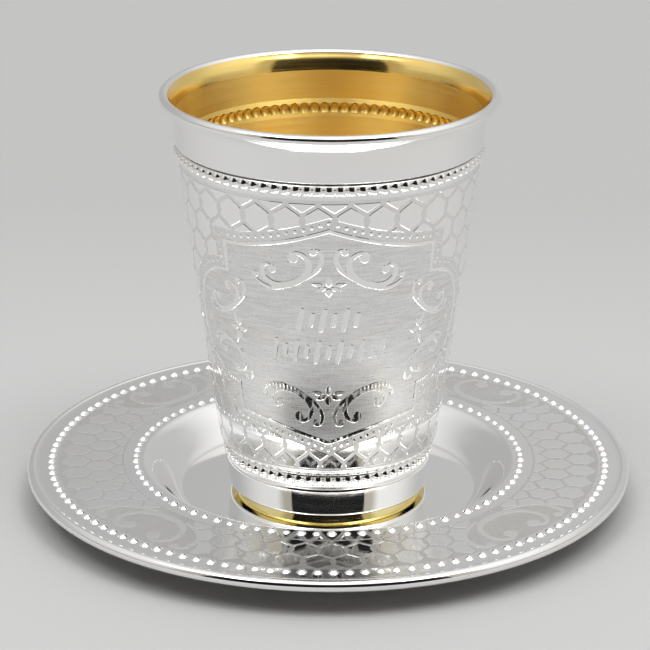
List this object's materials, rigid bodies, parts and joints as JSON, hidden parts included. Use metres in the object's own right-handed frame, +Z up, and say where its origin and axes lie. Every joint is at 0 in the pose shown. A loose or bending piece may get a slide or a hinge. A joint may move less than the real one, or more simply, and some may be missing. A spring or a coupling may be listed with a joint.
{
  "type": "kiddush cup",
  "caption": "Tapered footed drinking cup with a rolled lip, beaded borders and a gilt inside, standing on its round beaded saucer.",
  "frame": {"origin": "on the axis, at the table under the saucer", "axes": "+Z up the axis of the cup and saucer, -Y towards the front of the cartouche, +X to its right"},
  "size_m": [0.1272, 0.1272, 0.0873],
  "materials": {
    "cup_silver": "polished silver with matte etched ornament, gilt inside and under the foot",
    "saucer_silver": "polished silver with a matte etched band on the brim"
  },
  "bodies": {
    "root": {"cup": "cup_silver", "saucer": "saucer_silver"}
  },
  "joints": []
}
